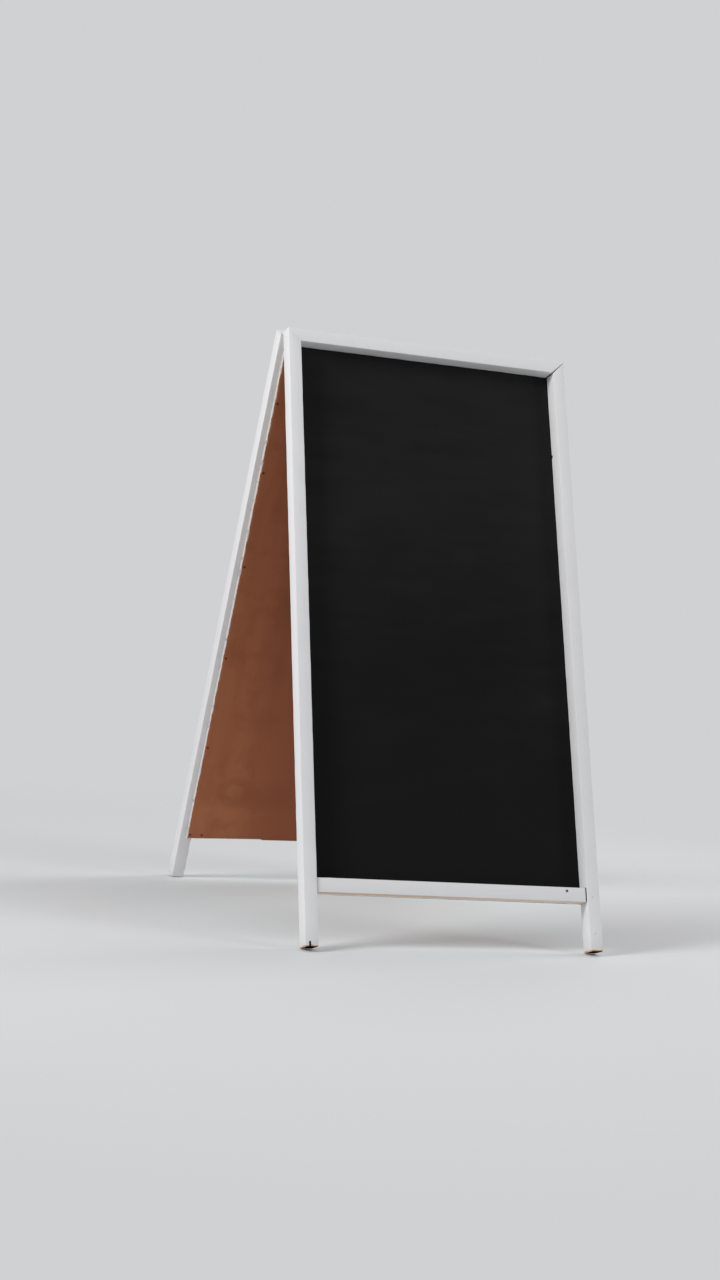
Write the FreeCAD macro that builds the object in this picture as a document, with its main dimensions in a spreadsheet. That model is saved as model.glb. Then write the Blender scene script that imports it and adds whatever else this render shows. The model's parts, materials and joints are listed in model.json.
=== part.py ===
import FreeCAD, Part
import os
import Sketcher

# A folding sandwich board: two equal batten frames, each with a thin ply sheet nailed
# to its inner face, joined along the top by two small steel butt hinges.
#
# Every wooden piece is drawn standing up in its own frame: X runs across the frame,
# Z runs up the stiles from the feet, and the inner face of the frame is the plane
# Y = 0, with the battens on the -Y side. A placement then leans the frame back.

SIZES = (
    ("frame_width", 605, "across the two stiles"),
    ("leg_length", 1200, "foot to top along a stile"),
    ("half_spread", 18.5, "lean of each frame from upright, in degrees"),
    ("stile_face", 26, "stile width seen from the front"),
    ("frame_depth", 31, "batten size from front to back"),
    ("top_rail_face", 26, "height of the top rail"),
    ("bottom_rail_face", 27, "height of the bottom rail"),
    ("bottom_rail_height", 99, "foot to the rail's lower edge, left end"),
    ("bottom_rail_drop", 5.5, "how much lower the rail's right end is nailed"),
    ("bottom_rail_setback", 3.5, "rail's front face behind the stiles"),
    ("bottom_rail_end_gap", 1.8, "open joint at the rail's right end"),
    ("mitre_gap", 2.6, "right top joint, open on its inner side"),
    ("edge_round", 1, "worn long edges of the battens"),
    ("board_thickness", 4, "ply sheet"),
    ("board_side_inset", 12.5, "sheet's side edge in from the stile's outer side"),
    ("board_top_inset", 14, "sheet's top edge below the top of the frame"),
    ("fold_gap", 2, "between the two sheets when folded shut"),
    ("nail_radius", 1, "shank of every nail"),
    ("nail_head_radius", 2.5, "flat head"),
    ("nail_head_thickness", 0.9, "flat head"),
    ("nail_head_proud", 0.4, "head standing above the surface"),
    ("board_nail_length", 22, "sheet to batten"),
    ("board_nail_inset", 8, "nail in from the sheet's edge"),
    ("side_nail_first", 103, "lowest side nail above the feet"),
    ("side_nail_pitch", 202, "side nails, up the stile"),
    ("side_nail_last", 143, "highest side nail below the top of the frame"),
    ("rail_nail_count", 3, "nails along each rail"),
    ("rail_nail_margin", 46, "first rail nail in from the stile's outer side"),
    ("rail_nail_rise", 9, "sheet nails above the bottom rail's lower edge"),
    ("joint_nail_length", 48, "stile to rail end"),
    ("joint_nail_rise", 17, "joint nails above the bottom rail's lower edge"),
    ("face_nail_margin", 68, "nail in the bottom rail's face, from the frame's side"),
    ("face_nail_rise", 20, "that nail above the rail's lower edge"),
    ("hinge_margin", 110, "middle of a hinge in from the frame's side"),
    ("hinge_length", 50, "along the pin"),
    ("leaf_width", 22, "pin to the leaf's free edge"),
    ("leaf_thickness", 1.5, "steel strip"),
    ("barrel_radius", 3, "outside of the knuckles"),
    ("pin_radius", 1.4, "hinge pin"),
    ("pin_clearance", 0.05, "between the pin and its bore, radially"),
    ("pin_head_radius", 2.2, "peened pin end"),
    ("pin_head_thickness", 0.8, "peened pin end"),
    ("knuckle_gap", 0.3, "between neighbouring knuckles"),
    ("screw_radius", 1.5, "screw shank"),
    ("screw_head_radius", 2.9, "countersunk head"),
    ("screw_length", 16, "under the leaf's face"),
    ("screw_clearance", 0.15, "between the screw and the leaf"),
    ("screw_margin", 7, "outer screws in from the leaf's ends"),
    ("screw_row", 12, "outer screws from the pin"),
    ("screw_stagger", 4, "middle screw further out than the others"),
    ("screw_slot_width", 0.8, "driver slot"),
    ("screw_slot_depth", 0.7, "driver slot"),
)
KNUCKLES = 5

doc = FreeCAD.newDocument("sandwich_board")
sheet = doc.addObject("Spreadsheet::Sheet", "Sizes")
for row, (alias, value, note) in enumerate(SIZES, start=1):
    sheet.set(f"A{row}", alias)
    sheet.set(f"B{row}", str(value))
    sheet.set(f"C{row}", note)
    sheet.setAlias(f"B{row}", alias)
doc.recompute()

# Lengths that follow from the driving sizes, as expressions on the sheet.
HALF_WIDTH = "Sizes.frame_width / 2"
STILE_INSIDE = "(Sizes.frame_width / 2 - Sizes.stile_face)"
PIN_REACH = "(Sizes.board_thickness + Sizes.fold_gap / 2)"
PIN_RISE = "(Sizes.leg_length + Sizes.barrel_radius)"
FOOT_REACH = f"({PIN_RISE} * sin(Sizes.half_spread) + {PIN_REACH} * cos(Sizes.half_spread))"
BOARD_HALF_WIDTH = "(Sizes.frame_width / 2 - Sizes.board_side_inset)"
RAIL_SLOPE = f"(Sizes.bottom_rail_drop / (2 * {STILE_INSIDE} - Sizes.bottom_rail_end_gap))"
NAIL_COLUMN = f"({BOARD_HALF_WIDTH} - Sizes.board_nail_inset)"
TOP_NAIL_ROW = "(Sizes.leg_length - Sizes.board_top_inset - Sizes.board_nail_inset)"

LEAN_BACK = "rotation(vector(1; 0; 0); -Sizes.half_spread)"
TURN_ROUND = "rotation(vector(0; 0; 1); 180)"
PLACEMENTS = {
    "front": f"placement(vector(0; -{FOOT_REACH}; 0); {LEAN_BACK})",
    "rear": f"placement(vector(0; {FOOT_REACH}; 0); {TURN_ROUND} * {LEAN_BACK})",
}

nodes = []


def number(expression):
    """The present value of an expression on the sheet."""
    return float(sheet.evalExpression(expression))


def rail_line(across):
    """Height of the bottom rail's lower edge, which is nailed on slightly askew."""
    return f"(Sizes.bottom_rail_height - {RAIL_SLOPE} * ({across} + {STILE_INSIDE}))"


def bind(feature, **expressions):
    for name, expression in expressions.items():
        feature.setExpression(name, expression)


def keep(feature, label, side):
    """Label a finished sub-part and lean it with its frame."""
    feature.Label = label
    feature.setExpression("Placement", PLACEMENTS[side])
    nodes.append(feature)


def outline(body, name, corners):
    """A closed upright sketch of straight edges; each corner is a pair of expressions."""
    sketch = body.newObject("Sketcher::SketchObject", name)
    upright = next(item for item in body.Origin.OriginFeatures if item.Role == "XZ_Plane")
    sketch.AttachmentSupport = [(upright, "")]
    sketch.MapMode = "FlatFace"
    points = [FreeCAD.Vector(number(across), number(up), 0) for across, up in corners]
    for index, point in enumerate(points):
        sketch.addGeometry(Part.LineSegment(point, points[(index + 1) % len(points)]))
    for index in range(len(points)):
        following = (index + 1) % len(points)
        sketch.addConstraint(Sketcher.Constraint("Coincident", index, 2, following, 1))
    for index, (corner, point) in enumerate(zip(corners, points)):
        for kind, expression, value in zip(("DistanceX", "DistanceY"), corner, point):
            constraint = Sketcher.Constraint(kind, -1, 1, index, 1, value)
            datum = sketch.addConstraint(constraint)
            sketch.setExpression(f"Constraints[{datum}]", expression)
    return sketch


def pad(body, name, sketch, length, reverse=False):
    feature = body.newObject("PartDesign::Pad", name)
    feature.Profile = sketch
    feature.Reversed = reverse
    bind(feature, Length=length)
    return feature


def round_long_edges(body, name, base, axis):
    """Take the sharpness off the four edges that run along a batten."""
    doc.recompute()
    edges = []
    for index, edge in enumerate(base.Shape.Edges, start=1):
        start, end = (vertex.Point for vertex in edge.Vertexes)
        along = (end - start).normalize()
        if abs(along.dot(axis)) > 0.95:
            edges.append(f"Edge{index}")
    fillet = body.newObject("PartDesign::Fillet", name)
    fillet.Base = (base, edges)
    bind(fillet, Radius="Sizes.edge_round")


def batten(label, side, corners, depth, axis):
    """One length of timber: its face outline, padded outwards from the inner face."""
    body = doc.addObject("PartDesign::Body", label)
    sketch = outline(body, f"{label}_face", corners)
    timber = pad(body, f"{label}_timber", sketch, depth)
    round_long_edges(body, f"{label}_edges", timber, axis)
    keep(body, label, side)


def stile(side, hand, sign):
    outer = f"{sign} * {HALF_WIDTH}"
    inner = f"{sign} * {STILE_INSIDE}"
    corners = (
        (outer, "0"),
        (inner, "0"),
        (inner, "Sizes.leg_length - Sizes.top_rail_face"),
        (outer, "Sizes.leg_length"),
    )
    batten(f"{side}_{hand}_stile", side, corners, "Sizes.frame_depth", FreeCAD.Vector(0, 0, 1))


def top_rail(side):
    lower = "Sizes.leg_length - Sizes.top_rail_face"
    corners = (
        (f"-{STILE_INSIDE}", lower),
        (f"{STILE_INSIDE} - Sizes.mitre_gap", lower),
        (HALF_WIDTH, "Sizes.leg_length"),
        (f"-{HALF_WIDTH}", "Sizes.leg_length"),
    )
    batten(f"{side}_top_rail", side, corners, "Sizes.frame_depth", FreeCAD.Vector(1, 0, 0))


def bottom_rail(side):
    left = f"-{STILE_INSIDE}"
    right = f"{STILE_INSIDE} - Sizes.bottom_rail_end_gap"
    corners = (
        (left, rail_line(left)),
        (right, rail_line(right)),
        (right, f"{rail_line(right)} + Sizes.bottom_rail_face"),
        (left, f"{rail_line(left)} + Sizes.bottom_rail_face"),
    )
    depth = "Sizes.frame_depth - Sizes.bottom_rail_setback"
    batten(f"{side}_bottom_rail", side, corners, depth, FreeCAD.Vector(1, 0, 0))


def board(side):
    """The ply sheet on the frame's inner face, trimmed flush with the bottom rail."""
    label = f"{side}_board"
    body = doc.addObject("PartDesign::Body", label)
    top = "Sizes.leg_length - Sizes.board_top_inset"
    corners = (
        (f"-{BOARD_HALF_WIDTH}", rail_line(f"-{BOARD_HALF_WIDTH}")),
        (BOARD_HALF_WIDTH, rail_line(BOARD_HALF_WIDTH)),
        (BOARD_HALF_WIDTH, top),
        (f"-{BOARD_HALF_WIDTH}", top),
    )
    sketch = outline(body, f"{label}_face", corners)
    pad(body, f"{label}_ply", sketch, "Sizes.board_thickness", reverse=True)
    keep(body, label, side)


def nail(name, head_at, direction, length):
    """A flat-headed nail; head_at is the point on the surface it is driven into."""
    shank = doc.addObject("Part::Cylinder", f"{name}_shank")
    bind(shank, Radius="Sizes.nail_radius", Height=length)
    head = doc.addObject("Part::Cylinder", f"{name}_head")
    bind(head, Radius="Sizes.nail_head_radius", Height="Sizes.nail_head_thickness")
    head.setExpression("Placement.Base.z", "-Sizes.nail_head_proud")
    whole = doc.addObject("Part::Fuse", name)
    whole.Base = head
    whole.Tool = shank
    place = "; ".join(head_at)
    turn = f"rotation(vector(0; 0; 1); vector({direction}))"
    whole.setExpression("Placement", f"placement(vector({place}); {turn})")
    return whole


def group(label, side, members):
    """Equal loose pieces that share one node."""
    compound = doc.addObject("Part::Compound", label)
    compound.Links = members
    keep(compound, label, side)


def board_nails(side):
    """Nails through the sheet: up both stiles and along both rails."""
    surface = "Sizes.board_thickness"
    last_row = "(Sizes.leg_length - Sizes.side_nail_last)"
    pitches = int(number(f"({last_row} - Sizes.side_nail_first) / Sizes.side_nail_pitch"))
    rows = [f"Sizes.side_nail_first + {step} * Sizes.side_nail_pitch" for step in range(pitches + 1)]
    places = []
    for row in rows + [last_row]:
        places.append((f"-{NAIL_COLUMN}", row))
        places.append((NAIL_COLUMN, row))
    rail_count = int(number("Sizes.rail_nail_count"))
    for step in range(rail_count):
        share = f"(2 * {step} / (Sizes.rail_nail_count - 1) - 1)"
        across = f"({HALF_WIDTH} - Sizes.rail_nail_margin) * {share}"
        places.append((across, TOP_NAIL_ROW))
        places.append((across, f"{rail_line(across)} + Sizes.rail_nail_rise"))
    members = []
    for index, (across, up) in enumerate(places):
        name = f"{side}_board_nail_{index}"
        members.append(nail(name, (across, surface, up), "0; -1; 0", "Sizes.board_nail_length"))
    group(f"{side}_board_nails", side, members)


def joint_nails(side):
    """Nails through the stiles into the rail ends, and one through the bottom rail."""
    middle = "-Sizes.frame_depth / 2"
    mitre_row = "Sizes.leg_length - Sizes.top_rail_face / 2"
    members = []
    for hand, sign in (("left", -1), ("right", 1)):
        inwards = f"{-sign}; 0; 0"
        low_row = f"{rail_line(f'{sign} * {STILE_INSIDE}')} + Sizes.joint_nail_rise"
        for row_name, row in (("low", low_row), ("high", mitre_row)):
            name = f"{side}_{hand}_{row_name}_nail"
            head_at = (f"{sign} * {HALF_WIDTH}", middle, row)
            members.append(nail(name, head_at, inwards, "Sizes.joint_nail_length"))
    face = "-(Sizes.frame_depth - Sizes.bottom_rail_setback)"
    across = f"{HALF_WIDTH} - Sizes.face_nail_margin"
    up = f"{rail_line(across)} + Sizes.face_nail_rise"
    head_at = (across, face, up)
    members.append(nail(f"{side}_face_nail", head_at, "0; 1; 0", "Sizes.board_nail_length"))
    group(f"{side}_joint_nails", side, members)


def hinge_x(hand_sign, side):
    """Middle of a hinge across its own frame; the rear frame is turned round."""
    sign = hand_sign if side == "front" else -hand_sign
    return f"{sign} * ({HALF_WIDTH} - Sizes.hinge_margin)"


def hinge_point(across, outwards="0", up="0"):
    """A point on a frame, measured from the middle of a hinge's pin."""
    return (across, f"{PIN_REACH} - ({outwards})", f"{PIN_RISE} + ({up})")


def place_at(feature, point, turn="rotation(vector(0; 0; 1); 0)"):
    feature.setExpression("Placement", f"placement(vector({'; '.join(point)}); {turn})")


def rod(name, start, length, radius, direction):
    cylinder = doc.addObject("Part::Cylinder", name)
    bind(cylinder, Radius=radius, Height=length)
    place_at(cylinder, start, f"rotation(vector(0; 0; 1); vector({direction}))")
    return cylinder


def block(name, corner, length, width, height):
    box = doc.addObject("Part::Box", name)
    bind(box, Length=length, Width=width, Height=height)
    place_at(box, corner)
    return box


def joined(name, kind, pieces):
    feature = doc.addObject(kind, name)
    feature.Shapes = pieces
    return feature


def screw_places(middle):
    """Two screws near the leaf's ends and one in the middle, set further out."""
    end = "(Sizes.hinge_length / 2 - Sizes.screw_margin)"
    return (
        (f"{middle} - {end}", "Sizes.screw_row"),
        (middle, "Sizes.screw_row + Sizes.screw_stagger"),
        (f"{middle} + {end}", "Sizes.screw_row"),
    )


def countersink(name, across, outwards, clearance):
    """A screw's outline from the leaf's top face down, grown by a clearance."""
    top = "-Sizes.barrel_radius + Sizes.leaf_thickness"
    down = "rotation(vector(0; 0; 1); vector(0; 0; -1))"
    cone = doc.addObject("Part::Cone", f"{name}_cone")
    bind(
        cone,
        Radius1=f"Sizes.screw_head_radius + {clearance}",
        Radius2=f"Sizes.screw_radius + {clearance}",
        Height="Sizes.leaf_thickness",
    )
    place_at(cone, hinge_point(across, outwards, top), down)
    shank = rod(
        f"{name}_shank",
        hinge_point(across, outwards, top),
        "Sizes.screw_length",
        f"Sizes.screw_radius + {clearance}",
        "0; 0; -1",
    )
    return joined(name, "Part::MultiFuse", [cone, shank])


def hinge_leaf(label, side, hand_sign, first_knuckle):
    """A flat leaf on the top rail with every other knuckle of the barrel."""
    middle = hinge_x(hand_sign, side)
    start = f"{middle} - Sizes.hinge_length / 2"
    pitch = f"Sizes.hinge_length / {KNUCKLES}"
    barrel = rod(
        f"{label}_barrel",
        hinge_point(start),
        "Sizes.hinge_length",
        "Sizes.barrel_radius",
        "1; 0; 0",
    )
    strip = block(
        f"{label}_strip",
        hinge_point(start, "Sizes.leaf_width", "-Sizes.barrel_radius"),
        "Sizes.hinge_length",
        "Sizes.leaf_width",
        "Sizes.leaf_thickness",
    )
    whole = joined(f"{label}_whole", "Part::MultiFuse", [barrel, strip])
    bore = rod(
        f"{label}_bore",
        hinge_point(start),
        "Sizes.hinge_length",
        "Sizes.pin_radius + Sizes.pin_clearance",
        "1; 0; 0",
    )
    room = "(Sizes.barrel_radius + 2 * Sizes.knuckle_gap)"
    cutters = [bore]
    for index in range(1 - first_knuckle, KNUCKLES, 2):
        cutters.append(block(
            f"{label}_notch_{index}",
            hinge_point(f"{start} + {index} * {pitch} - Sizes.knuckle_gap / 2", room, f"-{room}"),
            f"{pitch} + Sizes.knuckle_gap",
            f"2 * {room}",
            f"2 * {room}",
        ))
    for index, (across, outwards) in enumerate(screw_places(middle)):
        cutters.append(countersink(f"{label}_hole_{index}", across, outwards, "Sizes.screw_clearance"))
    leaf = doc.addObject("Part::Cut", label)
    leaf.Base = whole
    leaf.Tool = joined(f"{label}_cutters", "Part::MultiFuse", cutters)
    keep(leaf, label, side)


def hinge_screws(label, side, hand_sign):
    members = []
    for index, (across, outwards) in enumerate(screw_places(hinge_x(hand_sign, side))):
        name = f"{label}_{index}"
        solid = countersink(f"{name}_solid", across, outwards, "0")
        slot = block(
            f"{name}_slot",
            hinge_point(
                f"{across} - Sizes.screw_head_radius",
                f"{outwards} + Sizes.screw_slot_width / 2",
                "-Sizes.barrel_radius + Sizes.leaf_thickness - Sizes.screw_slot_depth",
            ),
            "2 * Sizes.screw_head_radius",
            "Sizes.screw_slot_width",
            "Sizes.leaf_thickness",
        )
        screw = doc.addObject("Part::Cut", name)
        screw.Base = solid
        screw.Tool = slot
        members.append(screw)
    group(label, side, members)


def hinge_pin(label, hand_sign):
    """The pin, with both ends peened over outside the barrel."""
    start = f"{hinge_x(hand_sign, 'front')} - Sizes.hinge_length / 2"
    pin = rod(f"{label}_rod", hinge_point(start), "Sizes.hinge_length", "Sizes.pin_radius", "1; 0; 0")
    ends = []
    for name, across in (
        ("left", f"{start} - Sizes.pin_head_thickness"),
        ("right", f"{start} + Sizes.hinge_length"),
    ):
        ends.append(rod(
            f"{label}_{name}_end",
            hinge_point(across),
            "Sizes.pin_head_thickness",
            "Sizes.pin_head_radius",
            "1; 0; 0",
        ))
    keep(joined(label, "Part::MultiFuse", [pin] + ends), label, "front")


def frame(side):
    stile(side, "left", -1)
    stile(side, "right", 1)
    top_rail(side)
    bottom_rail(side)
    board(side)
    board_nails(side)
    joint_nails(side)


def hinge(hand, hand_sign):
    hinge_leaf(f"{hand}_hinge_front_leaf", "front", hand_sign, 0)
    hinge_leaf(f"{hand}_hinge_rear_leaf", "rear", hand_sign, 1)
    hinge_pin(f"{hand}_hinge_pin", hand_sign)
    hinge_screws(f"{hand}_hinge_front_screws", "front", hand_sign)
    hinge_screws(f"{hand}_hinge_rear_screws", "rear", hand_sign)


frame("front")
frame("rear")
hinge("left", -1)
hinge("right", 1)
doc.recompute()

for feature in doc.Objects:
    if "Invalid" in feature.State or "Error" in feature.State:
        raise RuntimeError(f"{feature.Label} failed: {feature.State}")
for feature in nodes:
    if feature.Shape.isNull() or not feature.Shape.isValid():
        raise RuntimeError(f"{feature.Label} has no valid shape")

os.makedirs("parts", exist_ok=True)
for feature in nodes:
    feature.Shape.exportStep(f"parts/{feature.Label}.step")
    box = feature.Shape.BoundBox
    print(
        f"{feature.Label}: {len(feature.Shape.Solids)} solids, {feature.Shape.Volume:.0f} mm3, "
        f"{box.XLength:.1f} x {box.YLength:.1f} x {box.ZLength:.1f}"
    )
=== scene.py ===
import json
import math

import bmesh
import bpy
from mathutils import Matrix, Vector


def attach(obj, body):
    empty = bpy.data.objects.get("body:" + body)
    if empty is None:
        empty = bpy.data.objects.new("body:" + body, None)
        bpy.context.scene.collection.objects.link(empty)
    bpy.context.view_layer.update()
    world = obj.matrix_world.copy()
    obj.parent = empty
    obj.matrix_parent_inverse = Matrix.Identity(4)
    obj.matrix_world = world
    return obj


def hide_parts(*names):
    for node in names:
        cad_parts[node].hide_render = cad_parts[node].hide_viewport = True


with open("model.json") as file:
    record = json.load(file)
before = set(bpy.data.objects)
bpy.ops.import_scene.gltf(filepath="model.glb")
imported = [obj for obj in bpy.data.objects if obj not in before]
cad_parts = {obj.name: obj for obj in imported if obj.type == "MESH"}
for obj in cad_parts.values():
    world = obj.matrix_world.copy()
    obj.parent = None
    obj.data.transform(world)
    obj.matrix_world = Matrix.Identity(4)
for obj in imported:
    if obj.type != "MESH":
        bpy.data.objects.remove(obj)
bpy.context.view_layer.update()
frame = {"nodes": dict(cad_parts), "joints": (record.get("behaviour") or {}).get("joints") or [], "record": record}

SIDES = ("front", "rear")
MM = 0.001
SMOOTH_BELOW = math.radians(32)
SHARP = math.radians(60)

# ---------------------------------------------------------------- measures from the frame

joint = frame["joints"][0]
PIN = Vector(joint["pos_m"])
mounts = {mount["name"]: mount for mount in frame["record"]["mounts"]}
header_normal = Vector(mounts["front_header_face"]["axis"])
LEAN = math.atan2(header_normal.z, -header_normal.y)


def about_the_pin(side):
    """Turns a frame upright about the hinge pin, with its outer face towards -Y."""
    half_turn = Matrix.Rotation(math.pi if side == "rear" else 0.0, 4, "Z")
    return Matrix.Rotation(LEAN, 4, "X") @ half_turn @ Matrix.Translation(-PIN)


def box_through(matrix, node):
    """Lowest and highest corner of a CAD node, measured through a matrix."""
    points = [matrix @ vertex.co for vertex in frame["nodes"][node].data.vertices]
    low = Vector([min(point[axis] for point in points) for axis in range(3)])
    high = Vector([max(point[axis] for point in points) for axis in range(3)])
    return low, high


def standing(side):
    """From the room to a frame stood upright: X across, Z up from the feet, inner face at Y = 0."""
    turned = about_the_pin(side)
    low, high = box_through(turned, f"{side}_left_stile")
    return Matrix.Translation((0, -high.y, -low.z)) @ turned


STANDING = {side: standing(side) for side in SIDES}


def stood(node):
    """A CAD node's box in its own frame stood upright."""
    side = "front" if "front" in node else "rear"
    return box_through(STANDING[side], node)


def end_heights(node):
    """Lower edge of a wooden piece at its left and right ends, stood upright."""
    side = node.split("_")[0]
    points = [STANDING[side] @ vertex.co for vertex in frame["nodes"][node].data.vertices]
    low, high = stood(node)
    reach = 0.2 * (high.x - low.x)
    left = min(point.z for point in points if point.x < low.x + reach)
    right = min(point.z for point in points if point.x > high.x - reach)
    return left, right


def lower_ends(node):
    """Where a wooden piece's lower face begins and ends across the frame."""
    side = node.split("_")[0]
    points = [STANDING[side] @ vertex.co for vertex in frame["nodes"][node].data.vertices]
    floor_height = min(point.z for point in points) + 0.1 * MM
    reach = [point.x for point in points if point.z < floor_height]
    return min(reach), max(reach)


# ---------------------------------------------------------------- modelling by hand

def drop_selection():
    """Leave edit mode and deselect everything."""
    if bpy.context.object and bpy.context.object.mode != "OBJECT":
        bpy.ops.object.mode_set(mode="OBJECT")
    bpy.ops.object.select_all(action="DESELECT")


def take(piece):
    """Make a piece the only one selected, and active."""
    drop_selection()
    piece.select_set(True)
    bpy.context.view_layer.objects.active = piece


def add_block(name, low, high):
    """A block between two corners."""
    drop_selection()
    bpy.ops.mesh.primitive_cube_add(size=1, location=(low + high) / 2)
    block = bpy.context.object
    block.name = name
    block.data.name = name
    block.scale = high - low
    bpy.ops.object.transform_apply(location=True, rotation=False, scale=True)
    return block


def add_rod(name, radius, length, sides):
    """An upright cylinder standing on the origin."""
    drop_selection()
    middle = (0, 0, length / 2)
    bpy.ops.mesh.primitive_cylinder_add(vertices=sides, radius=radius, depth=length, location=middle)
    rod = bpy.context.object
    rod.name = name
    rod.data.name = name
    bpy.ops.object.transform_apply(location=True, rotation=True, scale=True)
    return rod


def pick(piece, part, wanted):
    """Go to edit mode with only the verts, edges or faces that pass a test selected."""
    take(piece)
    bpy.ops.object.mode_set(mode="EDIT")
    bpy.ops.mesh.select_mode(type={"verts": "VERT", "edges": "EDGE", "faces": "FACE"}[part])
    bpy.ops.mesh.select_all(action="DESELECT")
    shape = bmesh.from_edit_mesh(piece.data)
    for item in getattr(shape, part):
        if wanted(item):
            item.select_set(True)
    shape.select_flush_mode()
    bmesh.update_edit_mesh(piece.data)


def finish_edit():
    bpy.ops.object.mode_set(mode="OBJECT")


def lift(piece, wanted, rise):
    """Move the points that pass a test straight up."""
    pick(piece, "verts", wanted)
    bpy.ops.transform.translate(value=(0, 0, rise))
    finish_edit()


def saw(piece, point, outwards):
    """Cut everything beyond a plane off a piece and close the cut."""
    pick(piece, "faces", lambda face: True)
    bpy.ops.mesh.bisect(plane_co=point, plane_no=outwards, use_fill=True, clear_outer=True)
    finish_edit()


def runs_along(axis):
    """A test for edges that lie along an axis."""
    def wanted(edge):
        run = (edge.verts[1].co - edge.verts[0].co).normalized()
        return abs(run[axis]) > 0.95
    return wanted


def apply_modifier(piece, kind, **settings):
    take(piece)
    modifier = piece.modifiers.new(kind.title(), kind)
    for name, value in settings.items():
        setattr(modifier, name, value)
    bpy.ops.object.modifier_apply(modifier=modifier.name)


def roughen(piece, group_name, size, amount, middle):
    """Push a group's points along their normals by a cloudy noise."""
    clouds = bpy.data.textures.new(f"{piece.name}_{group_name}_clouds", "CLOUDS")
    clouds.noise_scale = size
    clouds.noise_depth = 2
    apply_modifier(
        piece, "DISPLACE", texture=clouds, texture_coords="LOCAL", vertex_group=group_name,
        strength=amount, mid_level=middle,
    )


def lean_back(piece, side):
    """Put an upright piece in its place in the room and make it part of the mesh."""
    take(piece)
    piece.matrix_world = STANDING[side].inverted()
    bpy.ops.object.transform_apply(location=True, rotation=True, scale=True)


def settle(piece, side, slot, *nodes):
    """A finished piece: leaned with its frame, riding on its body, standing for CAD nodes."""
    lean_back(piece, side)
    take(piece)
    bpy.ops.object.shade_smooth_by_angle(angle=SMOOTH_BELOW)
    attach(piece, f"{side}_frame")
    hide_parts(*nodes)


# ---------------------------------------------------------------- battens

ARRIS = 1.1 * MM
END_ARRIS = 0.3 * MM
FOOT_ARRIS = 1.6 * MM
RING_PITCH = 5 * MM
END_REACH = 35 * MM
FOOT_REACH = 14 * MM
SPLIT_STILE = "front_left_stile"
SPLIT_INSET = 9 * MM
SPLIT_WIDTH = 2.6 * MM
SPLIT_DEPTH = 9 * MM
SPLIT_HEIGHT = 10 * MM


def ring_cuts(piece, axis, length):
    """Divide the long edges, so that the batten can be worn along its length."""
    pick(piece, "edges", runs_along(axis))
    bpy.ops.mesh.subdivide(number_cuts=int(length / RING_PITCH))
    finish_edit()


def ease_long_edges(piece, axis):
    """Round the four arrises, where two faces of a batten meet at a corner."""
    along = runs_along(axis)

    def is_arris(edge):
        if len(edge.link_faces) != 2 or not along(edge):
            return False
        return edge.calc_face_angle() > SHARP

    pick(piece, "edges", is_arris)
    bpy.ops.mesh.bevel(offset=ARRIS, segments=3, affect="EDGES")
    finish_edit()


def ease_end(piece, axis, place, width):
    """Round the edges of an end face that lies near a place along the batten."""
    def is_rim(edge):
        if len(edge.link_faces) != 2 or edge.calc_face_angle() < math.radians(30):
            return False
        if abs((edge.verts[1].co - edge.verts[0].co).normalized()[axis]) > 0.9:
            return False
        middle = (edge.verts[0].co + edge.verts[1].co) / 2
        return abs(middle[axis] - place) < END_REACH

    pick(piece, "edges", is_rim)
    bpy.ops.mesh.bevel(offset=width, segments=2, affect="EDGES")
    finish_edit()


def group_points(piece, name, weight):
    """A vertex group whose weights come from each point's place."""
    group = piece.vertex_groups.new(name=name)
    for vertex in piece.data.vertices:
        amount = weight(vertex.co)
        if amount > 0:
            group.add([vertex.index], min(1.0, amount), "REPLACE")


def arris_weight(low, high, axis):
    """1 on the long arrises and 0 on the flats."""
    across = [other for other in range(3) if other != axis]

    def weight(point):
        gaps = sorted(min(point[a] - low[a], high[a] - point[a]) for a in across)
        return 1 - (abs(gaps[0]) + abs(gaps[1])) / (3.2 * ARRIS)
    return weight


def foot_weight(point):
    """1 at the foot and 0 a little way up."""
    return 1 - point.z / FOOT_REACH


def wear(piece, low, high, axis):
    """Dent and round the long arrises, in slow waves and in small nicks."""
    group_points(piece, "arris", arris_weight(low, high, axis))
    roughen(piece, "arris", 26 * MM, 1.1 * MM, middle=0.72)
    roughen(piece, "arris", 5 * MM, 0.5 * MM, middle=0.6)


def split_foot(piece, across, front):
    """A short split running up from the foot, wider at the bottom."""
    low = Vector((across - SPLIT_WIDTH / 2, front - 2 * MM, -4 * MM))
    high = Vector((across + SPLIT_WIDTH / 2, front + SPLIT_DEPTH, SPLIT_HEIGHT))
    wedge = add_block("split", low, high)
    pick(wedge, "verts", lambda vertex: vertex.co.z > SPLIT_HEIGHT / 2)
    bpy.ops.transform.resize(value=(0.15, 0.5, 1))
    finish_edit()
    apply_modifier(piece, "BOOLEAN", object=wedge, operation="DIFFERENCE", solver="EXACT")
    drop_selection()
    wedge.select_set(True)
    bpy.ops.object.delete()


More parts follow.
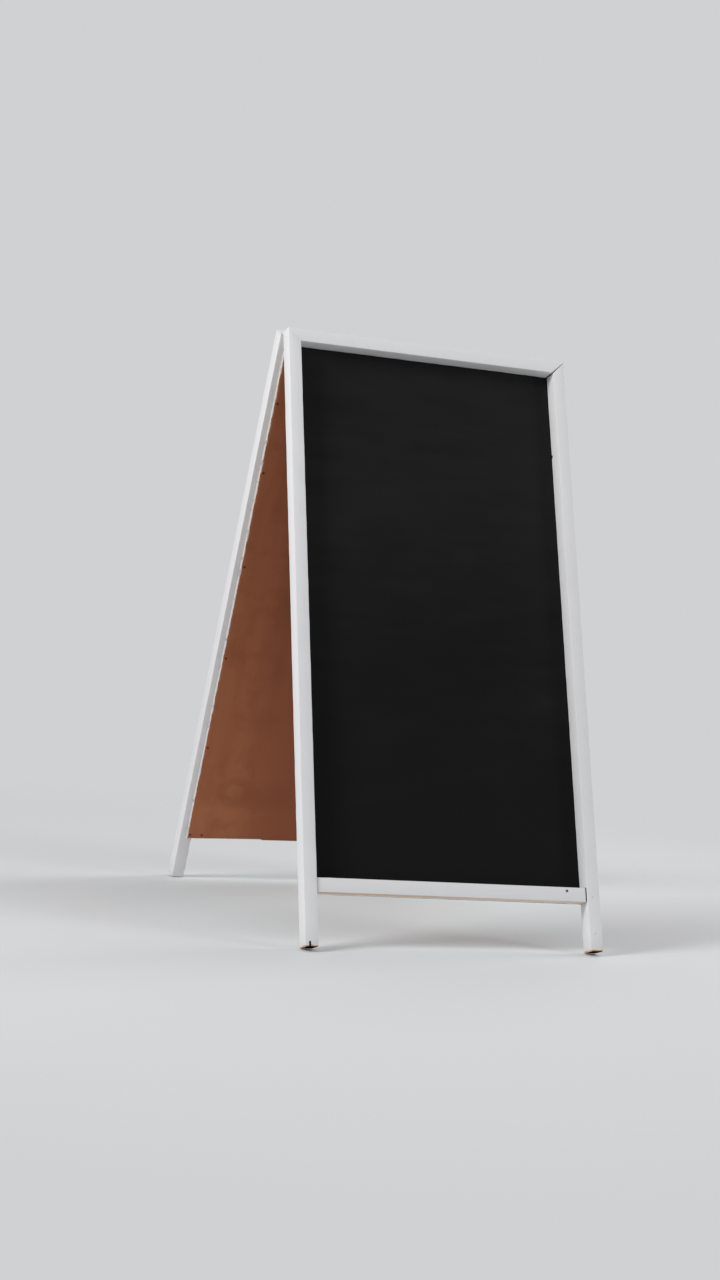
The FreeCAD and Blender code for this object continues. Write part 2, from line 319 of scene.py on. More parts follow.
def stile(side, hand):
    """An upright batten: square foot, top mitred to meet the top rail."""
    node = f"{side}_{hand}_stile"
    low, high = stood(node)
    rail_low, rail_high = stood(f"{side}_top_rail")
    piece = add_block(f"{node}_timber", low, high)
    outer = low.x if hand == "left" else high.x
    inner = high.x if hand == "left" else low.x
    slope = Vector((inner - outer, 0, rail_low.z - rail_high.z))
    normal = slope.cross(Vector((0, 1, 0))).normalized()
    if normal.z < 0:
        normal.negate()
    saw(piece, Vector((outer, 0, high.z)), normal)
    ring_cuts(piece, 2, high.z - low.z)
    ease_long_edges(piece, 2)
    ease_end(piece, 2, low.z, FOOT_ARRIS)
    ease_end(piece, 2, (high.z + rail_low.z) / 2, END_ARRIS)
    wear(piece, low, high, 2)
    group_points(piece, "foot", foot_weight)
    roughen(piece, "foot", 9 * MM, 1.6 * MM, middle=0.75)
    if node == SPLIT_STILE:
        split_foot(piece, low.x + SPLIT_INSET, low.y)
    settle(piece, side, "white_paint", node)
    return piece


def top_rail(side):
    """The top batten, mitred at both ends; the right mitre stands open on its inner side."""
    node = f"{side}_top_rail"
    low, high = stood(node)
    left_inner, right_inner = lower_ends(node)
    piece = add_block(f"{node}_timber", low, high)
    for outer, inner in ((low.x, left_inner), (high.x, right_inner)):
        slope = Vector((inner - outer, 0, low.z - high.z))
        normal = slope.cross(Vector((0, 1, 0))).normalized()
        if normal.x * outer < 0:
            normal.negate()
        saw(piece, Vector((outer, 0, high.z)), normal)
    ring_cuts(piece, 0, high.x - low.x)
    ease_long_edges(piece, 0)
    ease_end(piece, 0, (low.x + left_inner) / 2, END_ARRIS)
    ease_end(piece, 0, (high.x + right_inner) / 2, END_ARRIS)
    wear(piece, low, high, 0)
    settle(piece, side, "white_paint", node)
    return piece


def bottom_rail(side):
    """The bottom batten, a little out of level, square cut at both ends."""
    node = f"{side}_bottom_rail"
    low, high = stood(node)
    left, right = end_heights(node)
    face = high.z - low.z - abs(left - right)
    piece = add_block(f"{node}_timber", low, Vector((high.x, high.y, low.z + face)))
    lift(piece, lambda vertex: vertex.co.x < 0, left - low.z)
    lift(piece, lambda vertex: vertex.co.x > 0, right - low.z)
    ring_cuts(piece, 0, high.x - low.x)
    ease_long_edges(piece, 0)
    ease_end(piece, 0, low.x, END_ARRIS)
    ease_end(piece, 0, high.x, END_ARRIS)
    wear(piece, low, high, 0)
    settle(piece, side, "white_paint", node)
    return piece


# ---------------------------------------------------------------- boards

BOARD_EDGE = 0.4 * MM
SANDED_EDGE = 2.2 * MM
BOARD_ROWS = 150
BOARD_COLUMNS = 80
SAW_STEP = 124 * MM
SAW_STEP_RISE = 2 * MM


def board(side):
    """The ply sheet: sanded round its inner face, its lower edge following the rail."""
    node = f"{side}_board"
    low, high = stood(node)
    left, right = end_heights(node)
    piece = add_block(f"{node}_ply", low, high)
    middle = (low.z + high.z) / 2
    lift(piece, lambda vertex: vertex.co.z < middle and vertex.co.x < 0, left - low.z)
    lift(piece, lambda vertex: vertex.co.z < middle and vertex.co.x > 0, right - low.z)
    pick(piece, "edges", lambda edge: all(vertex.co.y > high.y - 0.1 * MM for vertex in edge.verts))
    bpy.ops.mesh.bevel(offset=SANDED_EDGE, segments=2, affect="EDGES")
    finish_edit()
    pick(piece, "edges", runs_along(2))
    bpy.ops.mesh.subdivide(number_cuts=BOARD_ROWS)
    finish_edit()
    pick(piece, "edges", runs_along(0))
    bpy.ops.mesh.subdivide(number_cuts=BOARD_COLUMNS)
    finish_edit()

    def is_outer_rim(edge):
        if len(edge.link_faces) != 2 or edge.calc_face_angle() < SHARP:
            return False
        return all(vertex.co.y < low.y + 0.1 * MM for vertex in edge.verts)

    pick(piece, "edges", is_outer_rim)
    bpy.ops.mesh.bevel(offset=BOARD_EDGE, segments=2, affect="EDGES")
    finish_edit()

    def beyond_step(point):
        share = (high.x - point.x) / (high.x - SAW_STEP)
        return share if share < 1 and point.z < left + 4 * MM else 0

    if side == "rear":
        group_points(piece, "saw_step", beyond_step)
        apply_modifier(
            piece, "DISPLACE", direction="Z", vertex_group="saw_step",
            strength=SAW_STEP_RISE, mid_level=0.0,
        )

    def rim_weight(point):
        gap = min(point.x - low.x, high.x - point.x, high.z - point.z, point.z - left, point.z - right)
        return 1 - abs(gap) / (2 * MM)

    group_points(piece, "rim", rim_weight)
    roughen(piece, "rim", 30 * MM, 1.0 * MM, middle=0.7)
    settle(piece, side, "chalkboard_ply", node)
    return piece


# ---------------------------------------------------------------- nails

def loose_solids(node, matrix):
    """The point lists of a CAD node's separate solids."""
    shape = bmesh.new()
    shape.from_mesh(frame["nodes"][node].data)
    bmesh.ops.remove_doubles(shape, verts=shape.verts, dist=1e-6)
    shape.verts.ensure_lookup_table()
    seen, solids = set(), []
    for start in shape.verts:
        if start.index in seen:
            continue
        seen.add(start.index)
        queue, points = [start], []
        while queue:
            vertex = queue.pop()
            points.append(matrix @ vertex.co)
            for edge in vertex.link_edges:
                other = edge.other_vert(vertex)
                if other.index not in seen:
                    seen.add(other.index)
                    queue.append(other)
        solids.append(points)
    shape.free()
    return solids


def nail_lines(node, side):
    """For each nail: the middle of its head's outer face, the way it is driven, and its sizes."""
    for points in loose_solids(node, STANDING[side]):
        middle = sum(points, Vector()) / len(points)
        spans = [max(p[a] for p in points) - min(p[a] for p in points) for a in range(3)]
        axis = spans.index(max(spans))
        ends = {}
        for way in (-1, 1):
            tip = max(way * point[axis] for point in points)
            rim = [p for p in points if tip - way * p[axis] < 0.05 * MM]
            centre = sum(rim, Vector()) / len(rim)
            ends[way] = (max((p - centre).length for p in rim), centre)
        way = max(ends, key=lambda key: ends[key][0])
        radius, centre = ends[way]
        direction = Vector([0.0, 0.0, 0.0])
        direction[axis] = -way
        yield centre, direction, radius, spans[axis]


NAIL_SIDES = 20
NAIL_HEAD = 0.9 * MM
NAIL_POINT = 1.5 * MM
NAIL_DISH = 0.12 * MM
NAIL_DENTS = 0.12 * MM
NAIL_TURN = 1.3
UPRIGHT = Vector((0, 0, 1))


def nail_pattern(name, radius, length):
    """A hammered nail, driven straight up: a dished, dented head and a pointed shank."""
    piece = add_rod(name, radius, NAIL_HEAD, NAIL_SIDES)
    pick(piece, "faces", lambda face: face.normal.z < -0.9)
    bpy.ops.mesh.inset(thickness=radius * 0.3)
    bpy.ops.mesh.inset(thickness=radius * 0.3)
    bpy.ops.transform.translate(value=(0, 0, NAIL_DISH))
    finish_edit()
    pick(piece, "edges", lambda edge: edge.calc_face_angle() > SHARP)
    bpy.ops.mesh.bevel(offset=0.2 * MM, segments=2, affect="EDGES")
    finish_edit()
    pick(piece, "verts", lambda vertex: True)
    bpy.ops.transform.vertex_random(offset=NAIL_DENTS, seed=4)
    finish_edit()
    pick(piece, "faces", lambda face: face.normal.z > 0.9 and face.calc_area() > radius**2)
    bpy.ops.mesh.inset(thickness=radius * 0.6)
    shank = length - NAIL_HEAD - NAIL_POINT
    bpy.ops.mesh.extrude_region_move(TRANSFORM_OT_translate={"value": (0, 0, shank)})
    bpy.ops.mesh.extrude_region_move(TRANSFORM_OT_translate={"value": (0, 0, NAIL_POINT)})
    bpy.ops.transform.resize(value=(0.1, 0.1, 0.1))
    finish_edit()
    return piece


def drive(pattern, name, centre, direction, turn):
    """A copy of a nail, turned about its shank and driven in at its place."""
    piece = pattern.copy()
    piece.data = pattern.data.copy()
    piece.name = name
    bpy.context.scene.collection.objects.link(piece)
    aim = UPRIGHT.rotation_difference(direction).to_matrix().to_4x4()
    piece.matrix_world = Matrix.Translation(centre) @ aim @ Matrix.Rotation(turn, 4, "Z")
    take(piece)
    bpy.ops.object.transform_apply(location=True, rotation=True, scale=True)
    return piece


def nails(side, kind):
    """One frame's nails of a kind, copied from a pattern for each length and joined."""
    node = f"{side}_{kind}_nails"
    patterns, made = {}, []
    for index, (centre, direction, radius, length) in enumerate(nail_lines(node, side)):
        size = round(length / MM)
        if size not in patterns:
            patterns[size] = nail_pattern(f"{node}_pattern_{size}", radius, length)
        name = f"{node}_{index}"
        made.append(drive(patterns[size], name, centre, direction, index * NAIL_TURN))
    drop_selection()
    for pattern in patterns.values():
        pattern.select_set(True)
    bpy.ops.object.delete()
    for piece in made:
        piece.select_set(True)
    bpy.context.view_layer.objects.active = made[0]
    bpy.ops.object.join()
    group = bpy.context.object
    group.name = f"{node}_driven"
    group.data.name = group.name
    settle(group, side, "nail_steel", node)
    return group


# ---------------------------------------------------------------- finishes

class Value:
    """A number on its way through a finish, with Python's arithmetic."""

    def __init__(self, finish, socket):
        self.finish = finish
        self.socket = socket

    def __add__(self, other):
        return self.finish.maths("ADD", self, other)

    __radd__ = __add__

    def __sub__(self, other):
        return self.finish.maths("SUBTRACT", self, other)

    def __rsub__(self, other):
        return self.finish.maths("SUBTRACT", other, self)

    def __mul__(self, other):
        return self.finish.maths("MULTIPLY", self, other)

    __rmul__ = __mul__


class Finish:
    """A material being made, read in the upright lengths of one of the two frames."""

    def __init__(self, name, side="front"):
        self.material = bpy.data.materials.new(name)
        self.material.use_nodes = True
        self.tree = self.material.node_tree
        self.tree.nodes.clear()
        matrix = STANDING[side]
        self.room = self.add("ShaderNodeTexCoord", {}, {}, "Object")
        shift = {"Location": matrix.to_translation(), "Rotation": matrix.to_euler()}
        self.place = self.add("ShaderNodeMapping", {}, {"Vector": self.room, **shift})
        self.x, self.y, self.z = (
            self.add("ShaderNodeSeparateXYZ", {}, {"Vector": self.place}, axis) for axis in "XYZ"
        )

    def add(self, kind, settings, inlets, outlet=0):
        """Adds a node: its settings first, then the values or links of its sockets."""
        node = self.tree.nodes.new(kind)
        for name, value in settings.items():
            setattr(node, name, value)
        for name, value in inlets.items():
            if isinstance(value, Value):
                self.tree.links.new(value.socket, node.inputs[name])
            else:
                node.inputs[name].default_value = value
        return Value(self, node.outputs[outlet]) if node.outputs else None

    def maths(self, operation, *terms):
        """One step of arithmetic on numbers or values."""
        return self.add("ShaderNodeMath", {"operation": operation}, dict(enumerate(terms)))

    def step(self, value, start, end):
        """0 before start, 1 after end, and smooth between."""
        return self.add(
            "ShaderNodeMapRange",
            {"interpolation_type": "SMOOTHSTEP"},
            {"Value": value, "From Min": start, "From Max": end},
        )

    def point(self, x, y, z):
        return self.add("ShaderNodeCombineXYZ", {}, {"X": x, "Y": y, "Z": z})

    def cloud(self, where, scale, detail, roughness=0.5):
        """Cloudy variation round 0.5."""
        return self.add(
            "ShaderNodeTexNoise",
            {},
            {"Vector": where, "Scale": scale, "Detail": detail, "Roughness": roughness},
        )

    def mix(self, share, first, second):
        """Blends two colours, the second showing where share is 1."""
        return self.add("ShaderNodeMix", {"data_type": "RGBA"}, {0: share, 6: first, 7: second}, 2)

    def bump(self, height, distance, strength):
        inlets = {"Height": height, "Distance": distance, "Strength": strength}
        return self.add("ShaderNodeBump", {}, inlets, "Normal")

    def distance(self, centre):
        """How far a place is from a point."""
        inlets = {0: self.place, 1: centre}
        return self.add("ShaderNodeVectorMath", {"operation": "DISTANCE"}, inlets, "Value")

    def span(self, across, up):
        """The length of a flat offset."""
        inlets = {0: self.point(across, 0.0, up)}
        return self.add("ShaderNodeVectorMath", {"operation": "LENGTH"}, inlets, "Value")

    def absolute(self, value):
        return self.maths("ABSOLUTE", value)

    def surface(self, **inlets):
        """A surface shader; names of sockets are written with underscores."""
        named = {name.replace("_", " "): value for name, value in inlets.items()}
        return self.add("ShaderNodeBsdfPrincipled", {}, named)

    def blend(self, share, first, second):
        """Two surfaces, the second showing where share is 1."""
        return self.add("ShaderNodeMixShader", {}, {0: share, 1: first, 2: second})

    def done(self, surface):
        self.add("ShaderNodeOutputMaterial", {}, {"Surface": surface})
        return self.material


def rgb(red, green, blue):
    return (red, green, blue, 1.0)


WHITE = rgb(0.865, 0.865, 0.87)
WHITE_LOW = rgb(0.79, 0.79, 0.80)
WHITE_THIN = rgb(0.73, 0.73, 0.73)
# Dark dirt; also used for painted shadow at the bottom rail's left end.
GRIME_AND_SHADE = rgb(0.30, 0.27, 0.23)
RAW_WOOD = rgb(0.74, 0.50, 0.33)
RAW_WOOD_DARK = rgb(0.52, 0.29, 0.16)
THIN_PRIMER = rgb(0.84, 0.70, 0.58)
# Near black: stain on the feet, and painted shade in the open joints, beside the bottom rail's end and in the
# split.
STAIN_AND_SHADE_BLACK = rgb(0.012, 0.009, 0.007)
CHALK_BLACK = rgb(0.0075, 0.0075, 0.0078)
CHALK_DUST = rgb(0.016, 0.016, 0.0165)
PLY_BROWN = rgb(0.36, 0.125, 0.060)
PLY_DARK = rgb(0.25, 0.080, 0.038)
PLY_LIGHT = rgb(0.46, 0.180, 0.085)
PLY_CORE = rgb(0.83, 0.78, 0.72)
NAIL_DARK = rgb(0.035, 0.028, 0.024)
NAIL_RUST = rgb(0.11, 0.045, 0.02)
ZINC = rgb(0.52, 0.52, 0.50)
ZINC_DULL = rgb(0.30, 0.30, 0.29)


WORN_FOOT = {"front": 8 * MM, "rear": 4 * MM}
DENTS = ((287 * MM, 103 * MM), (288.5 * MM, 34 * MM))
NICK_HEIGHT = 1001 * MM


def brushed_white(finish, axis):
    """White paint brushed along the grain: its colour, and the height of the brush marks."""
    run = (finish.x, finish.z)[axis == 2]
    across = (finish.z, finish.x)[axis == 2]
    strokes = finish.cloud(finish.point(across * 420, finish.y * 420, run * 9), 1.0, 3.0, 0.6)
    patches = finish.cloud(finish.place, 9.0, 3.0)
    specks = finish.cloud(finish.place, 260.0, 2.0, 0.65)
    thin = finish.step(strokes + patches * 0.5, 0.86, 1.02)
    # The white is darker towards the bottom.
    higher_up = finish.step(finish.z, 250 * MM, 1150 * MM)
    colour = finish.mix(higher_up, WHITE_LOW, WHITE)
    colour = finish.mix(thin * 0.35, colour, WHITE_THIN)
    colour = finish.mix(finish.step(specks, 0.70, 0.78) * 0.18, colour, GRIME_AND_SHADE)
    return colour, strokes * 0.6 + specks * 0.4


def paint(finish, colour, height):
    """Satin white paint over wood."""
    return finish.surface(
        Base_Color=colour,
        Roughness=0.52 + height * 0.18,
        Specular_IOR_Level=0.22,
        Normal=finish.bump(height, 0.0003, 0.6),
    )


def bare_wood(finish, colour, grain):
    """Wood with no paint left on it, quite matt."""
    return finish.surface(
        Base_Color=colour,
        Roughness=1.0,
        Specular_IOR_Level=0.0,
        Normal=finish.bump(grain, 0.0004, 0.8),
    )


def black_overlap(finish, colour, inner_side):
    """Chalkboard paint that strayed onto the side of a batten beside the sheet."""
    ragged = finish.cloud(finish.place, 55.0, 3.0, 0.6)
    beside = finish.step(inner_side, 0.8 * MM, 0.4 * MM)
    strayed = finish.step(finish.y + ragged * 2.2 * MM, 0.6 * MM, 0.9 * MM)
    return finish.mix(beside * strayed, colour, CHALK_BLACK)


def mark(finish, centre, radius):
    """1 inside a small round mark and 0 outside it, with an uneven edge."""
    edge = finish.cloud(finish.place, 500.0, 2.0)
    reach = finish.distance(centre) + edge * radius * 0.6
    return finish.step(reach, radius * 1.5, radius * 1.1)


def mitre_depth(finish, outer, inner):
    """How far a place lies below the mitre that runs between two corners of the face."""
    run = Vector((outer[0] - inner[0], outer[1] - inner[1])).normalized()
    sign = 1 if run.x > 0 else -1
    return (finish.x - outer[0]) * run.y * sign - (finish.z - outer[1]) * run.x * sign


def open_joint_shade(finish, depth, face, corner):
    """1 inside the front frame's open mitre, 0 at the face and towards the corner: where shade is painted into the
    gap.
    """
    inside = finish.step(depth, 0.35 * MM, 0.15 * MM) * finish.step(finish.y, face, face + 5 * MM)
    return inside * finish.step(finish.x, corner - 9 * MM, corner - 15 * MM)


def stile_paint(name, side, hand):
    """A stile: white all over, bare where the foot has worn, its end grain darkened by stain and by painted shade.
    """
    node = f"{side}_{hand}_stile"
    low, high = stood(node)
    rail_low, rail_high = stood(f"{side}_bottom_rail")
    top_low = stood(f"{side}_top_rail")[0]
    finish = Finish(name, side)
    colour, height = brushed_white(finish, 2)
    inner_side = high.x - finish.x if hand == "left" else finish.x - low.x
    colour = black_overlap(finish, colour, inner_side)
    scuffs = finish.cloud(finish.place, 9.0, 3.0)
    splash = finish.step(finish.z - scuffs * (50 * MM), 20 * MM, -30 * MM)
    colour = finish.mix(splash * 0.12, colour, GRIME_AND_SHADE)
    if hand == "right":
        # Painted shade: the stile's inner side in the open joint at the bottom rail's right end, painted near
        # black.
        shade_behind_rail = finish.step(finish.y, rail_low.y + 0.6 * MM, rail_low.y + 1.2 * MM)
        shade_behind_rail = shade_behind_rail * finish.step(inner_side, 0.8 * MM, 0.4 * MM)
        shade_behind_rail = shade_behind_rail * finish.step(finish.z, rail_low.z + 3 * MM, rail_low.z + 4 * MM)
        shade_behind_rail = shade_behind_rail * finish.step(finish.z, rail_high.z - 4 * MM, rail_high.z - 5 * MM)
        colour = finish.mix(shade_behind_rail, colour, STAIN_AND_SHADE_BLACK)
    if node == "front_right_stile":
        # Painted shade inside the open mitre under the top rail.
        below = mitre_depth(finish, (high.x, high.z), (low.x, top_low.z))
        colour = finish.mix(open_joint_shade(finish, below, low.y, high.x), colour, STAIN_AND_SHADE_BLACK)
        for across, up in DENTS:
            dent = mark(finish, (across, low.y, up), 1.8 * MM)
            colour = finish.mix(dent * 0.3, colour, GRIME_AND_SHADE)
        nick = mark(finish, (low.x, high.y - 1.0 * MM, NICK_HEIGHT), 3.6 * MM)
        colour = finish.mix(nick, colour, CHALK_BLACK)

    chips = finish.cloud(finish.place, 120.0, 4.0, 0.65)
    bare = finish.step(finish.z - chips * WORN_FOOT[side], -0.6 * MM, -1.4 * MM)
    grain = finish.cloud(finish.point(finish.x * 700, finish.y * 700, finish.z * 40), 1.0, 2.0)
    wood = finish.mix(grain, RAW_WOOD, RAW_WOOD_DARK)
    middle = (low.x + high.x) / 2
    off_middle = finish.absolute(finish.x - middle)
    # End grain under the foot: dark stain, and painted shade on the face turned away from the light.
    stain_and_shade = finish.step(off_middle + chips * 6 * MM, 15 * MM, 13 * MM)
    stain_and_shade = stain_and_shade * finish.step(finish.z - chips * 1.5 * MM, 0.9 * MM, 0.3 * MM)
    wood = finish.mix(stain_and_shade, wood, STAIN_AND_SHADE_BLACK)
    if node == SPLIT_STILE:
        # Painted shade: the inside of the split, painted near black.
        inside = finish.step(finish.z, 12 * MM, 9 * MM)
        off_split = finish.absolute(finish.x - low.x - SPLIT_INSET)
        inside = inside * finish.step(off_split, 2.4 * MM, 1.6 * MM)
        inside = inside * finish.step(finish.y, low.y + SPLIT_DEPTH, low.y + SPLIT_DEPTH - 1 * MM)
        wood = finish.mix(inside, wood, STAIN_AND_SHADE_BLACK)
        bare = finish.maths("MAXIMUM", bare, inside)
    timber = bare_wood(finish, wood, grain)
    return finish.done(finish.blend(bare, paint(finish, colour, height), timber))


def rail_paint(name, side, which):
    """A rail: white, with part of the bottom rail's underside left as bare wood."""
    node = f"{side}_{which}_rail"
    low, high = stood(node)
    finish = Finish(name, side)
    colour, height = brushed_white(finish, 0)
    if which == "top":
        colour = black_overlap(finish, colour, finish.z - low.z)
        if side == "front":
            # Painted shade inside the open mitre at the rail's right end.
            lower_right = lower_ends(node)[1]
            inside = mitre_depth(finish, (high.x, high.z), (lower_right, low.z)) * -1
            colour = finish.mix(open_joint_shade(finish, inside, low.y, high.x), colour, STAIN_AND_SHADE_BLACK)
        return finish.done(paint(finish, colour, height))
    left, right = end_heights(node)
    slope = (right - left) / (high.x - low.x)
    above = finish.z - left - (finish.x - low.x) * slope
    face = high.z - low.z - abs(left - right)
    colour = black_overlap(finish, colour, face - above)
    # Painted shadow cast by the left stile on the rail's face near its left end.
    painted_stile_shadow = finish.step(finish.x - low.x, 3.2 * MM, 2.0 * MM)
    colour = finish.mix(painted_stile_shadow * 0.4, colour, GRIME_AND_SHADE)
    # Painted shade on the rail's face beside the open joint at its right end.
    colour = finish.mix(finish.step(high.x - finish.x, 0.9 * MM, 0.4 * MM) * 0.8, colour, STAIN_AND_SHADE_BLACK)
    edge = finish.cloud(finish.point(finish.x * 60, finish.y * 200, 0.0), 1.0, 3.0)
    grain = finish.cloud(finish.point(finish.x * 12, finish.y * 500, 0.0), 1.0, 3.0)
    wood = finish.mix(finish.step(grain, 0.3, 0.7), RAW_WOOD, RAW_WOOD_DARK)
    primed = finish.step(finish.x, -150 * MM, 200 * MM) * 0.35 + 0.5
    wood = finish.mix(primed, wood, THIN_PRIMER)
    bare = finish.step(above - edge * 0.8 * MM, 0.35 * MM, 0.1 * MM)
    bare = bare * finish.step(finish.y + edge * 10 * MM, low.y + 24 * MM, low.y + 22 * MM)
    timber = bare_wood(finish, wood, grain)
    return finish.done(finish.blend(bare, paint(finish, colour, height), timber))


RING_MARK = (-200 * MM, 205 * MM)
SMUDGE = (-95 * MM, 200 * MM)


def chalkboard_ply(name, side):
    """Black chalkboard paint outside, bare red-brown ply inside, pale layers on the edges."""
    low, high = stood(f"{side}_board")
    finish = Finish(name, side)
    across = finish.x * (1 if side == "front" else -1)
    patches = finish.cloud(finish.place, 2.6, 3.0)
    wiping = finish.cloud(finish.point(finish.x * 6, 0.0, finish.z * 26), 1.0, 4.0, 0.6)
    tooth = finish.cloud(finish.place, 900.0, 2.0, 0.7)
    # Chalk dust in patches and wipes; the black also grows lighter towards the top.
    rise = finish.step(finish.z, low.z, high.z)
    dust_lighter_to_top = finish.step(patches * 0.5 + wiping * 0.35 + rise * 0.35, 0.42, 0.95)
    black = finish.mix(dust_lighter_to_top, CHALK_BLACK, CHALK_DUST)

    pores = finish.cloud(finish.point(finish.x * 900, finish.y * 900, finish.z * 22), 1.0, 3.0, 0.6)
    bands = finish.cloud(finish.point(finish.x * 16, 0.0, finish.z * 2.2), 1.0, 4.0, 0.5)
    blotches = finish.cloud(finish.place, 14.0, 4.0, 0.6)
    brown = finish.mix(finish.step(bands, 0.3, 0.7) * 0.5, PLY_BROWN, PLY_LIGHT)
    brown = finish.mix(finish.step(bands, 0.5, 0.2) * 0.3, brown, PLY_DARK)
    # Painted shade: the brown darkens across the sheet, away from the side the light comes in.
    painted_shade = finish.step(across + blotches * 60 * MM, -250 * MM, -60 * MM)
    brown = finish.mix(painted_shade * 0.8, brown, PLY_DARK)
    # Painted light: the lower part of the sheet, away from the painted shade, lighter and more orange.
    painted_light_low = finish.step(finish.z, 350 * MM, 100 * MM) * (1 - painted_shade)
    brown = finish.mix(painted_light_low * 0.55, brown, PLY_LIGHT)
    brown = finish.mix(finish.step(blotches, 0.45, 0.65) * 0.3, brown, PLY_DARK)
    brown = finish.mix(finish.step(pores, 0.60, 0.72) * 0.35, brown, PLY_DARK)
    ring_reach = finish.span(across - RING_MARK[0], (finish.z - RING_MARK[1]) * 1.3)
    ring_reach = ring_reach + blotches * 50 * MM
    ring = finish.step(ring_reach, 42 * MM, 54 * MM) * finish.step(ring_reach, 78 * MM, 60 * MM)
    brown = finish.mix(ring * 0.35, brown, PLY_DARK)
    smudge_reach = finish.span(across - SMUDGE[0], (finish.z - SMUDGE[1]) * 2.4)
    smudge_reach = smudge_reach + blotches * 90 * MM
    smudge = finish.step(smudge_reach, 160 * MM, 80 * MM)
    brown = finish.mix(smudge * 0.4, brown, PLY_DARK)

    edge = finish.cloud(finish.point(finish.x * 300, finish.y * 900, finish.z * 300), 1.0, 2.0)
    core = finish.mix(finish.step(edge, 0.5, 0.75) * 0.5, PLY_CORE, RAW_WOOD)
    from_left = finish.x - low.x
    from_right = high.x - finish.x
    margin = finish.maths("MINIMUM", from_left, from_right)
    ragged = finish.cloud(finish.point(0.0, 0.0, finish.z * 34), 1.0, 4.0, 0.7)
    painted = finish.step(ragged, 0.44, 0.52) * finish.step(finish.z, 850 * MM, 600 * MM)
    core = finish.mix(painted * 0.8, core, WHITE_THIN)
    dirt = finish.cloud(finish.point(finish.x * 120, finish.y * 120, finish.z * 90), 1.0, 3.0, 0.6)
    core = finish.mix(finish.step(dirt, 0.56, 0.66) * 0.8, core, GRIME_AND_SHADE)
    stray_white = finish.step(margin - (ragged - 0.45) * 9 * MM, 2.5 * MM, 2.1 * MM)
    brown = finish.mix(stray_white, brown, WHITE_THIN)
    outer = finish.step(finish.y, low.y + 0.6 * MM, low.y + 0.3 * MM)
    inner = finish.step(finish.y, high.y - 0.5 * MM, high.y - 0.2 * MM)
    colour = finish.mix(outer, core, black)
    colour = finish.mix(inner, colour, brown)
    return finish.done(finish.surface(
        Base_Color=colour,
        Roughness=0.85 - inner * 0.25 + tooth * 0.08,
        Specular_IOR_Level=0.12,
        Normal=finish.bump(tooth * 0.5 + pores * inner, 0.00025, 0.5),
    ))


def nail_steel(name, side, kind):
    """Rusty heads; the joint nails in the stiles' sides are painted over."""
    finish = Finish(name, side)
    rust = finish.step(finish.cloud(finish.place, 900.0, 3.0), 0.42, 0.6)
    colour = finish.mix(rust, NAIL_DARK, NAIL_RUST)
    metallic = 0.6 - rust * 0.5
    if kind == "joint":
        over = finish.step(finish.absolute(finish.x), 285 * MM, 290 * MM)
        colour = finish.mix(over, colour, WHITE)
        metallic = metallic * (1 - over)
    return finish.done(finish.surface(
        Base_Color=colour,
        Roughness=0.55 + rust * 0.3,
        Metallic=metallic,
        Normal=finish.bump(rust, 0.0001, 0.5),
    ))


def hinge_steel(name):
    """Zinc plate gone dull, with fine scratches along the hinge."""
    finish = Finish(name)
    dulling = finish.cloud(finish.place, 140.0, 4.0)
    scratches = finish.cloud(finish.point(finish.x * 60, finish.y * 1600, finish.z * 1600), 1.0, 2.0)
    return finish.done(finish.surface(
        Base_Color=finish.mix(finish.step(dulling, 0.4, 0.65), ZINC, ZINC_DULL),
        Roughness=0.32 + dulling * 0.25,
        Metallic=0.9,
        Normal=finish.bump(scratches, 0.00005, 0.4),
    ))


def dress(piece, material):
    """Give a piece one finish all over."""
    piece.data.materials.clear()
    piece.data.materials.append(material)


# ---------------------------------------------------------------- the room

PALE_FLOOR = rgb(0.755, 0.765, 0.775)
# Painted light: lighter than the floor round it, against the shade under the board, and cooler, against the warm
# light the bare ply sends down there.
FLOOR_PAINTED_LIGHT_UNDER_BOARD = rgb(0.757, 0.806, 0.818)
SEEN_ROOM = 0.643
ROOM_LIGHT = 0.377
LAMP_TARGET = Vector((0, 0, 0.5))
LAMPS = (
    ("soft_left", (-4.8, -1.5, 3.35), 1.8, 168),
    ("low_left", (-5.0, -0.8, 1.6), 1.8, 12),
    ("soft_right", (4.4, 1.0, 2.9), 2.0, 81),
    ("soft_behind", (3.4, 3.7, 3.1), 2.4, 24),
    ("soft_front", (4.2, -3.2, 2.6), 2.2, 58),
)


CAMERA_PLACE = (-1.7777, -4.1271, 0.7166)
CAMERA_HEADING = math.radians(-22.14)
CAMERA_TILT = math.radians(0.38)
CAMERA_ROLL = math.radians(5.10)
CAMERA_LENS = 62.68
CAMERA_SHIFT = -0.078


def camera():
    """Standing off to the left of the front board, at hip height, held slightly askew."""
    view = bpy.data.cameras.new("camera")
    view.sensor_width = 36
    view.lens = CAMERA_LENS
    view.shift_y = CAMERA_SHIFT
    holder = bpy.data.objects.new("camera", view)
    bpy.context.scene.collection.objects.link(holder)
    holder.matrix_world = (
        Matrix.Translation(CAMERA_PLACE)
        @ Matrix.Rotation(CAMERA_HEADING, 4, "Z")
        @ Matrix.Rotation(math.pi / 2 + CAMERA_TILT, 4, "X")
        @ Matrix.Rotation(CAMERA_ROLL, 4, "Z")
    )
    bpy.context.scene.camera = holder


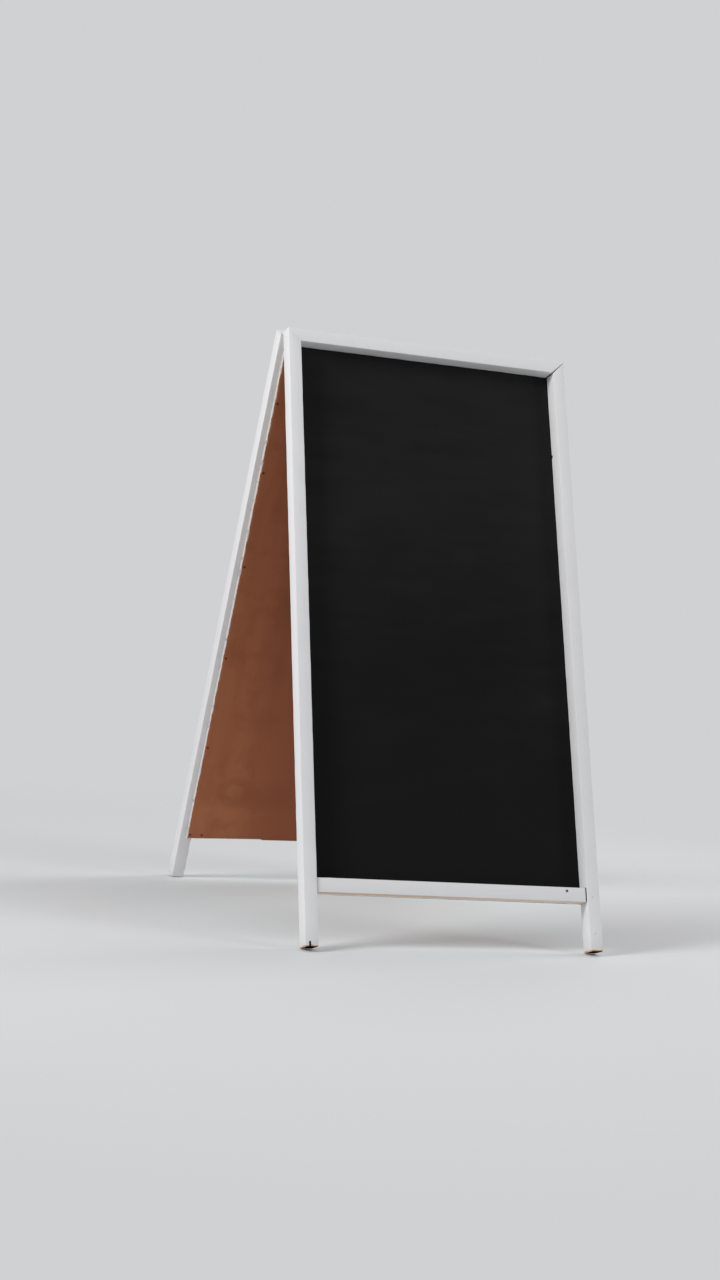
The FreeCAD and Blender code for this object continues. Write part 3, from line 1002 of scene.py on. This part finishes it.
def floor():
    """A pale floor that fades into the light of the room some way off."""
    drop_selection()
    bpy.ops.mesh.primitive_circle_add(vertices=96, radius=30, fill_type="NGON")
    ground = bpy.context.object
    ground.name = "floor"
    finish = Finish("pale_floor")
    reach = finish.add("ShaderNodeVectorMath", {"operation": "LENGTH"}, {0: finish.room}, "Value")
    near = finish.step(reach, 2.2, 0.7)
    painted_light_under = finish.step(reach, 0.62, 0.30)
    colour = finish.mix(painted_light_under, PALE_FLOOR, FLOOR_PAINTED_LIGHT_UNDER_BOARD)
    solid = finish.surface(Base_Color=colour, Roughness=0.9, Specular_IOR_Level=0.1)
    clear = finish.add("ShaderNodeBsdfTransparent", {}, {})
    finish.done(finish.blend(near, clear, solid))
    dress(ground, finish.material)


def lamp(name, place, size, power):
    """A round lamp aimed at the middle of the board, itself out of sight."""
    light = bpy.data.lights.new(name, "AREA")
    light.shape = "DISK"
    light.size = size
    light.energy = power
    holder = bpy.data.objects.new(name, light)
    holder.location = place
    aim = LAMP_TARGET - Vector(place)
    holder.rotation_euler = aim.to_track_quat("-Z", "Y").to_euler()
    holder.visible_camera = False
    bpy.context.scene.collection.objects.link(holder)


def light():
    """Soft lamps round the board, and a pale room that looks brighter than it lights."""
    world = bpy.data.worlds.new("room")
    bpy.context.scene.world = world
    world.use_nodes = True
    tree = world.node_tree
    seen = tree.nodes.new("ShaderNodeLightPath").outputs["Is Camera Ray"]
    strength = tree.nodes.new("ShaderNodeMapRange")
    strength.inputs["To Min"].default_value = ROOM_LIGHT
    strength.inputs["To Max"].default_value = SEEN_ROOM
    tree.links.new(seen, strength.inputs["Value"])
    background = tree.nodes["Background"]
    background.inputs["Color"].default_value = rgb(0.985, 0.99, 1.005)
    tree.links.new(strength.outputs[0], background.inputs["Strength"])
    for settings in LAMPS:
        lamp(*settings)
    bpy.context.scene.view_settings.view_transform = "Standard"


# ---------------------------------------------------------------- the whole board

camera()
light()
floor()

for side in SIDES:
    for hand in ("left", "right"):
        dress(stile(side, hand), stile_paint(f"{side}_{hand}_stile_paint", side, hand))
    dress(top_rail(side), rail_paint(f"{side}_top_rail_paint", side, "top"))
    dress(bottom_rail(side), rail_paint(f"{side}_bottom_rail_paint", side, "bottom"))
    dress(board(side), chalkboard_ply(f"{side}_board_finish", side))
    for kind in ("board", "joint"):
        dress(nails(side, kind), nail_steel(f"{side}_{kind}_nail_steel", side, kind))

steel = hinge_steel("hinge_steel")
for name, node in frame["nodes"].items():
    if "hinge" in name:
        dress(node, steel)
